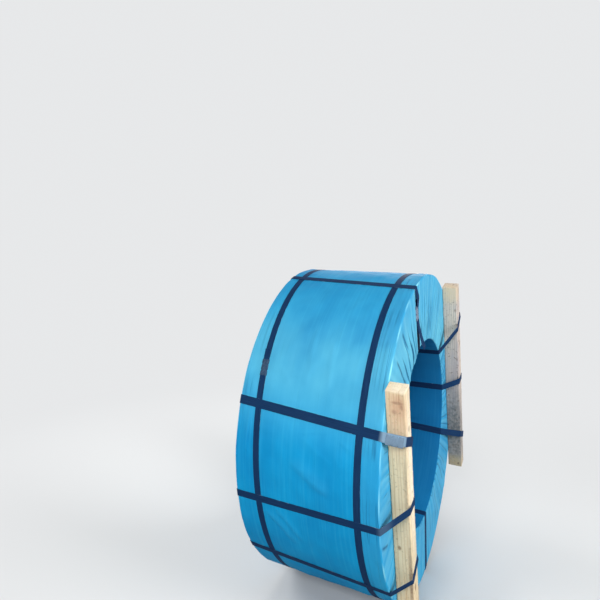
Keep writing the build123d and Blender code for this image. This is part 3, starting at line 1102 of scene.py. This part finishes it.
battenLooks = {
    # Places are in metres from the middle: heights are upwards, and "front" is the -Y side.
    # wane: height, depth, half length. cracks: side, place across, end, length, depth.
    # knots: side, place across, height, size. stains, some of them painted light and
    # shadow: side, across, height, width, half length, colour, strength.
    "batten_near": {
        "seed": 71, "wane": (0.10, 0.006, 0.16),
        "cracks": [("off", 0.012, 1, 0.10, 0.003), ("out", -0.006, 1, 0.06, 0.002),
                   ("off", 0.004, -1, 0.34, 0.005), ("out", 0.014, -1, 0.15, 0.004)],
        "pith": (-0.050, 0.018), "greyShare": 0.06,
        "light": "#ecd7b0", "dark": "#d8bc92", "grey": "#a39c92",
        "knots": [("out", 0.004, 0.36, 0.010), ("front", -0.012, -0.12, 0.008),
                  ("out", -0.010, -0.30, 0.012)],
        "stains": [("front", 0.010, 0.460, 0.030, 0.050, "#b98d70", 0.70),
                   ("front", 0.006, 0.472, 0.022, 0.007, "#7f5c48", 1.00),
                   ("front", 0.020, 0.458, 0.006, 0.016, "#7f5c48", 0.95),
                   ("front", -0.006, 0.436, 0.009, 0.013, "#8a6652", 0.85),
                   ("front", 0.000, 0.400, 0.050, 0.140, "#dcae90", 0.60),
                   ("front", 0.024, -0.240, 0.007, 0.170, "#84604a", 0.90),
                   ("front", 0.022, 0.140, 0.006, 0.150, "#9a7a58", 0.70),
                   # Painted highlight: a near white stain over the out face, for the strong light on that
                   # side
                   ("out", 0.004, 0.150, 0.036, 0.420, "#fff2da", 1.00),
                   ("out", 0.000, 0.515, 0.080, 0.012, "#f9ecd3", 1.00)],
        "specks": 0.30,
    },
    "batten_far": {
        "seed": 72, "wane": (-0.18, 0.006, 0.10),
        "cracks": [("off", -0.008, -1, 0.13, 0.005), ("out", 0.010, -1, 0.17, 0.004),
                   ("out", -0.016, 1, 0.12, 0.004), ("off", 0.011, 1, 0.10, 0.004)],
        "pith": (0.055, -0.030), "greyShare": 0.80,
        "light": "#e6d5c2", "dark": "#b09c8c", "grey": "#aaa4ab",
        "knots": [("out", 0.012, 0.20, 0.012)],
        "stains": [("front", 0.000, 0.490, 0.080, 0.070, "#dcc6a2", 0.90),
                   ("front", 0.023, 0.395, 0.006, 0.012, "#86705f", 0.80),
                   ("front", 0.025, 0.130, 0.006, 0.013, "#86705f", 0.80),
                   ("front", 0.026, 0.010, 0.005, 0.035, "#3d4147", 1.00),
                   # Painted shadow: a dark grey stain over the lower front, for the coil's shadow on it
                   ("front", 0.000, -0.300, 0.080, 0.300, "#4a555c", 0.92),
                   ("front", 0.000, -0.500, 0.080, 0.060, "#cdb78d", 0.90)],
        "specks": 0.75,
    },
}


def bandBites(name):
    # Places along a batten, and its outer edges there, where bands bend over it
    middle, (lengthwise, off, out), half = battens[name]
    bites = []
    for line in crossBands.values():
        spoke = outward(line["angle"])
        if spoke.dot(off) < 0.5 or len(line["corners"]) < 5:
            continue
        shift = along(line["angle"]) * (line["drift"] * (middle.x - axisX + half[2]))
        for edge in (-half[1], half[1]):
            reach = (edge + (middle - coilAxis - shift).dot(off)) / spoke.dot(off)
            spot = coilAxis + shift + spoke * reach
            bites.append(((spot - middle).dot(lengthwise), edge, line["width"] / 2))
    return bites


def cutAcross(places, normal):
    # Cuts the whole mesh by planes at the given distances along a normal
    for place in places:
        bpy.ops.mesh.select_all(action="SELECT")
        bpy.ops.mesh.bisect(plane_co=[place * n for n in normal], plane_no=normal)


def placePiece(piece, middle, axes):
    # Turns and moves a piece from its own directions to where it belongs
    piece.data.transform(Matrix.Translation(middle) @ Matrix(axes).transposed().to_4x4())
    piece.data.update()


def makeBatten(name, look):
    middle, axes, half = battens[name]
    size = [2 * h for h in half]
    piece = newPiece(name + "_timber", bpy.ops.mesh.primitive_cube_add, size=1)
    editAll()
    bpy.ops.transform.resize(value=size)
    bpy.ops.mesh.bevel(offset=timber["round"], segments=2, affect="EDGES")
    for side, count in enumerate(timber["cuts"]):
        normal = [int(k == side) for k in range(3)]
        cutAcross([size[side] * (k / count - 0.5) for k in range(1, count)], normal)
    crack = timber["crackWidth"]
    for side, place, end, reach, depth in look["cracks"]:
        cutAcross([place - crack, place, place + crack], (0, 1, 0) if side == "out" else (0, 0, 1))
    bpy.ops.object.mode_set(mode="OBJECT")
    applyModifier(piece, "SUBSURF", subdivision_type="SIMPLE", levels=timber["fine"],
                  render_levels=timber["fine"])
    shapeTimber(piece, look, half, 1 if axes[0].z > 0 else -1, bandBites(name))
    placePiece(piece, middle, axes)
    finishPiece(piece, newMaterial("sawn_pine_" + name, addTimberSurface, name, look), name, 32)
    print(piece.name, len(piece.data.polygons), "faces")


def shapeTimber(piece, look, half, upSign, bites):
    # Wears, bends, cracks and dents a batten in its own directions: u along it, v off the coil's
    # axis, w off the end of the coil. All of it goes inwards
    points = np.zeros(len(piece.data.vertices) * 3, np.float32)
    piece.data.vertices.foreach_get("co", points)
    u, v, w = points.reshape(-1, 3).astype(float).T
    rng = np.random.default_rng(look["seed"])

    def ripple(place, shortest, longest, count):
        # Seeded wave, about -1 to 1
        total = 0
        for _ in range(count):
            total = total + np.sin(2 * np.pi * (place / rng.uniform(shortest, longest) + rng.random()))
        return total / math.sqrt(count)

    # The saw leaves each face slightly waved
    rough = timber["sawRough"] * (1.2 + ripple(u + 0.4 * v, 0.006, 0.05, 7) * ripple(v + w, 0.01, 0.05, 4))
    rough = np.maximum(rough, 0)
    onSide, onTop = np.abs(v) > half[1] - 1e-5, np.abs(w) > half[2] - 1e-5
    v = v - np.where(onSide, np.sign(v) * rough, 0)
    w = w - np.where(onTop, np.sign(w) * rough, 0)

    # Long edges are worn unevenly, and one of them has wane where the bark was
    height, depth, length = look["wane"]
    least, more = timber["edgeWear"]
    for sideV, sideW in ((1, 1), (1, -1), (-1, 1), (-1, -1)):
        wear = least + more * np.abs(ripple(u, 0.02, 0.25, 6))
        if sideV > 0 and sideW > 0:
            bark = ease(1 - np.abs(u - height * upSign) / length)
            wear = wear + depth * bark * (0.8 + 0.2 * ripple(u, 0.02, 0.06, 3))
        corner = (half[1] - v * sideV) + (half[2] - w * sideW)
        cut = np.maximum(wear - corner, 0) / 2
        v, w = v - sideV * cut, w - sideW * cut

    # End edges are broken by the saw, and the ends are a little out of square
    least, more = timber["chips"]
    for end in (1, -1):
        near = half[0] - u * end
        chip = least + more * np.abs(ripple(v * 3 + w * 2, 0.01, 0.06, 5))
        edge = np.minimum(half[1] - np.abs(v), half[2] - np.abs(w)) + near
        u = u - end * np.maximum(chip - edge, 0) / 2
        skew = 0.0006 + 0.00045 * (v / half[1] + 1) + 0.0003 * ripple(w, 0.004, 0.03, 5)
        u = u - end * ease(1 - near / 0.02) * skew

    for side, place, end, reach, depth in look["cracks"]:
        across, level, top = (v, w, half[2]) if side == "out" else (w, v, half[1])
        fromEnd = half[0] - u * end * upSign
        line = np.maximum(1 - np.abs(across - place) / timber["crackWidth"], 0)
        groove = np.where(level > top - 0.004, line * ease(1.25 * (1 - fromEnd / reach)) * depth, 0)
        if side == "out":
            w = w - groove
        else:
            v = v - groove
        share = ease((level + top) / (2 * top))
        u = u - np.where(fromEnd < 0.003, end * upSign * line * depth * share, 0)

    for place, edge, reach in bites:
        over = ease((reach + 0.0030 - np.abs(u - place)) / 0.0035)
        corner = np.abs(v - edge) + (half[2] - w)
        dent = timber["bite"] * over * ease(1 - corner / 0.014)
        v, w = v - np.sign(edge) * dent * 0.6, w - dent

    v = v - timber["bow"] * (u / half[0]) ** 2
    piece.data.vertices.foreach_set("co", np.stack([u, v, w], axis=-1).astype(np.float32).ravel())
    piece.data.update()


def addTimberSurface(tree, name, look):
    # Rough sawn pine: pale sapwood with darker late wood lines that run through the bar, knots,
    # saw marks across it and grey weathering. Dull, with the grain just raised.
    middle, (lengthwise, off, out), half = battens[name]
    up = lengthwise * (1 if lengthwise.z > 0 else -1)
    # From here on X is off the end of the coil, Y roughly +Y, and Z up along the batten
    local = addNode(tree, "Mapping", {
        "Vector": addNode(tree, "TexCoord").outputs["Object"], "Location": middle,
        "Rotation": (math.atan2(-up.y, up.z), 0, 0)}, vector_type="TEXTURE")
    noise = {}
    for key, (wide, long, detail, rough) in timber["noises"].items():
        place = addNode(tree, "Mapping", {"Vector": local, "Scale": (1 / wide, 1 / wide, 1 / long)})
        noise[key] = addNode(tree, "TexNoise", {
            "Vector": place, "Scale": 1, "Detail": detail, "Roughness": rough})

    pithX, pithY = look["pith"]
    trunk = addNode(tree, "Mapping", {
        "Vector": local, "Location": (-pithX, -pithY, 0), "Scale": (1, 1, 0.05)})
    scale, reach = timber["wander"]
    wander = addNode(tree, "TexNoise", {"Vector": trunk, "Scale": scale, "Detail": 2}).outputs["Color"]
    centred = addNode(tree, "VectorMath", {0: wander, 1: (0.5, 0.5, 0.5)}, operation="SUBTRACT")
    scaled = addNode(tree, "VectorMath", {0: centred, "Scale": reach}, operation="SCALE")
    bent = addNode(tree, "VectorMath", {0: trunk, 1: scaled}, operation="ADD")
    # A wave texture repeats every 0.314 at scale 1
    rings = addNode(tree, "TexWave", {
        "Vector": bent, "Scale": 0.314 / timber["ring"], "Distortion": 0.6, "Detail": 1,
        "Detail Scale": 1}, wave_type="RINGS", rings_direction="Z", wave_profile="SAW").outputs["Fac"]
    ringTone = addNode(tree, "ValToRGB", {"Fac": rings}, (
        (0.0, look["light"]), (0.62, look["light"]), (0.90, look["dark"]), (1.0, look["light"])))
    fibreTone = addNode(tree, "MapRange", {
        "Value": noise["fibre"], "From Min": 0.3, "From Max": 0.7, "To Min": 0.84, "To Max": 1.06})
    current = addNode(tree, "Mix", {0: 1, 6: ringTone, 7: fibreTone}, data_type="RGBA",
                      blend_type="MULTIPLY")

    # Over the grain come the grey, the stains (some painted light and shadow) and knots, and the specks
    layers = [(addNode(tree, "MapRange", {
        "Value": noise["patch"], "From Min": 0.32, "From Max": 0.72, "To Max": look["greyShare"]}),
        look["grey"])]
    mottle = addNode(tree, "TexNoise", {"Vector": local, "Scale": timber["mottle"], "Detail": 3})
    marks = [(*stain, *timber["mottled"]) for stain in look["stains"]]
    marks += [(side, across, height, size, size * 1.5, *timber["knot"])
              for side, across, height, size in look["knots"]]
    for side, across, height, width, length, hexValue, strength, low, high in marks:
        spotX, spotY = (across, -half[1]) if side == "front" else (half[2], across)
        place = addNode(tree, "Mapping", {
            "Vector": local, "Location": (spotX, spotY, height), "Scale": (width, width, length)},
            vector_type="TEXTURE")
        away = addNode(tree, "VectorMath", {0: place}, operation="LENGTH")
        fade = addNode(tree, "MapRange", {
            "Value": away, "From Min": 0.3, "From Max": 1.2, "To Min": strength, "To Max": 0},
            interpolation_type="SMOOTHSTEP")
        broken = addNode(tree, "MapRange", {"Value": mottle, "From Min": low, "From Max": high})
        layers.append((addNode(tree, "Math", {0: fade, 1: broken}, operation="MULTIPLY"), hexValue))
    size, hexValue = timber["speck"]
    speck = addNode(tree, "TexNoise", {"Vector": local, "Scale": 1 / size, "Detail": 2, "Roughness": 0.6})
    layers.append((addNode(tree, "MapRange", {
        "Value": speck, "From Min": 0.60, "From Max": 0.74, "To Max": look["specks"]}), hexValue))
    for share, hexValue in layers:
        current = addNode(tree, "Mix", {0: share, 6: current, 7: hexValue}, data_type="RGBA")

    place = addNode(tree, "Mapping", {"Vector": local, "Rotation": (0.10, 0.07, 0)})
    saw = addNode(tree, "TexWave", {
        "Vector": place, "Scale": 0.314 / timber["sawMark"], "Distortion": 3, "Detail": 2},
        bands_direction="Z").outputs["Fac"]
    bump = None
    for height, (strength, distance) in zip((saw, noise["fibre"], rings), timber["bumps"]):
        bump = addNode(tree, "Bump", {
            "Height": height, "Normal": bump, "Strength": strength, "Distance": distance})
    return {"Base Color": current, "Normal": bump, "Roughness": timber["roughness"]}


for name, look in battenLooks.items():
    makeBatten(name, look)
print("battens made")


# Seals: pressed steel channels over the lapped ends, crimped twice on each side

seal = {
    "length": 0.064, "wall": 0.0011, "skirt": 0.0034, "lead": 0.008,
    "crimpPitch": 0.024, "crimpHalf": 0.0032, "crimpReach": 0.0052, "crimpDrop": 0.0024,
    "crimpPinch": 0.55, "overBand": 0.00130,  # inside of the seal above the first strip's top
    "skirtBelow": 0.00055, "edge": 0.00035,
}
sealFinish = {"seal_cross_1": "chalky_zinc_seal", "seal_cross_2": "galvanised_steel_seal"}


def makeSeal(name):
    middle, (lengthwise, sideways, upright), half = sealBox(name)
    core = coilAxis + Vector((0, middle.y, middle.z - axisZ)).normalized() * (coilRadius + boreRadius) / 2
    if upright.dot(middle - core) < 0:
        upright = -upright
    sideways = upright.cross(lengthwise)
    halfLength, halfWide, reach = seal["length"] / 2, half[1] - seal["wall"], seal["crimpReach"]
    piece = newPiece(name + "_steel", bpy.ops.mesh.primitive_plane_add, size=1)
    editAll()
    bpy.ops.transform.resize(value=(seal["length"], 2 * halfWide, 1))
    middles = [side * seal["crimpPitch"] / 2 for side in (-1, 1)]
    crimps = [place + edge * seal["crimpHalf"] for place in middles for edge in (-1, 0, 1)]
    cutAcross([seal["lead"] - halfLength] + crimps + [halfLength - seal["lead"]], (1, 0, 0))
    cutAcross([reach - halfWide, 0.0, halfWide - reach], (0, 1, 0))
    bpy.ops.mesh.select_all(action="DESELECT")
    bpy.ops.mesh.select_mode(type="EDGE")
    bpy.ops.object.mode_set(mode="OBJECT")
    tiny = 1e-6
    for edge in piece.data.edges:
        spots = [piece.data.vertices[k].co for k in edge.vertices]
        edge.select = all(abs(abs(p.y) - halfWide) < tiny for p in spots)
    bpy.ops.object.mode_set(mode="EDIT")
    bpy.ops.mesh.extrude_region_move(TRANSFORM_OT_translate={"value": (0, 0, -seal["skirt"])})
    bpy.ops.object.mode_set(mode="OBJECT")
    for vertex in piece.data.vertices:
        x, y, z = vertex.co
        if abs(abs(x) - seal["crimpPitch"] / 2) < tiny and abs(y) > halfWide - tiny:
            vertex.co.y -= math.copysign(reach * seal["crimpPinch"], y)
            vertex.co.z -= seal["crimpDrop"] if z > -tiny else 0.0
        vertex.co.z += seal["overBand"]
    applyModifier(piece, "SOLIDIFY", thickness=seal["wall"], offset=1)
    applyModifier(piece, "BEVEL", width=seal["edge"], segments=2, limit_method="ANGLE")
    placePiece(piece, middle - upright * seal["skirtBelow"], (lengthwise, sideways, upright))
    finishPiece(piece, sealMaterials[sealFinish.get(name, "blued_steel_seal")], name, 35)


for name in sorted(frame["nodes"]):
    if name.startswith("seal"):
        makeSeal(name)
print("seals made")


# Floor, lights and background

studio = {
    "floor": "#d6d7d7",
    "floorBounce": "#8f9192",  # what the floor throws back on the object
    "floorRough": 0.9,
    "background": (0.80, 0.81, 0.82, 1),
    "fade": (0.9, 3.2),  # from here to here the floor turns into the background
    "worldTint": (0.94, 0.97, 1.0, 1),
    "worldLight": 0.20,
    "aim": (0, 0, 0.7),  # what the lamps look at
}
lamps = {
    # name: place, watts, size
    "front": ((0.5, -4.2, 2.6), 144, 1.6),
    "side": ((4.2, -0.6, 2.2), 156, 1.6),
    "left": ((-3.8, 0.8, 2.6), 104, 2.4),
    "back": ((-0.8, 4.2, 2.4), 95, 2.2),
}


def seenDirectly(tree):
    # 1 for what the camera, a reflection or glass sees, and 0 for the light on the object
    rays = addNode(tree, "LightPath")
    seen = rays.outputs["Is Camera Ray"]
    for ray in ("Is Glossy Ray", "Is Transmission Ray"):
        seen = addNode(tree, "Math", {0: seen, 1: rays.outputs[ray]}, operation="MAXIMUM")
    return seen


def makeFloor():
    # Matt painted board: no shine, and only the object's shadow on it
    floor = newPiece("studio_floor", bpy.ops.mesh.primitive_circle_add, vertices=96, radius=60,
                     fill_type="NGON")
    material = bpy.data.materials.new("matt_studio_floor")
    tree = emptyTree(material)
    place = addNode(tree, "TexCoord").outputs["Object"]
    distance = addNode(tree, "VectorMath", {0: place}, operation="LENGTH")
    fadeFrom, fadeTo = studio["fade"]
    fade = addNode(tree, "MapRange", {
        "Value": distance, "From Min": fadeFrom, "From Max": fadeTo}, interpolation_type="SMOOTHSTEP")
    seen = seenDirectly(tree)
    tone = addNode(tree, "Mix", {
        0: seen, 6: studio["floorBounce"], 7: studio["floor"]}, data_type="RGBA")
    matt = addNode(tree, "BsdfPrincipled", {"Base Color": tone, "Roughness": studio["floorRough"]})
    glow = addNode(tree, "Emission", {"Color": studio["background"], "Strength": 1})
    share = addNode(tree, "Math", {0: fade, 1: seen}, operation="MULTIPLY")
    mixed = addNode(tree, "MixShader", {0: share, 1: matt, 2: glow})
    addNode(tree, "OutputMaterial", {"Surface": mixed})
    giveMaterial(floor, material)


def makeWorld():
    world = bpy.data.worlds.new("studio_world")
    bpy.context.scene.world = world
    tree = emptyTree(world)
    light = addNode(tree, "Background", {"Color": studio["worldTint"], "Strength": studio["worldLight"]})
    shown = addNode(tree, "Background", {"Color": studio["background"], "Strength": 1})
    mixed = addNode(tree, "MixShader", {0: seenDirectly(tree), 1: light, 2: shown})
    addNode(tree, "OutputWorld", {"Surface": mixed})


def makeLamps():
    for name, (place, watts, size) in lamps.items():
        light = bpy.data.lights.new("lamp_" + name, "AREA")
        light.energy, light.size = watts, size
        lamp = bpy.data.objects.new("lamp_" + name, light)
        bpy.context.scene.collection.objects.link(lamp)
        lamp.location = place
        gaze = Vector(studio["aim"]) - Vector(place)
        lamp.rotation_euler = gaze.to_track_quat("-Z", "Y").to_euler()


makeFloor()
makeWorld()
makeLamps()
print("stage and lamps set")
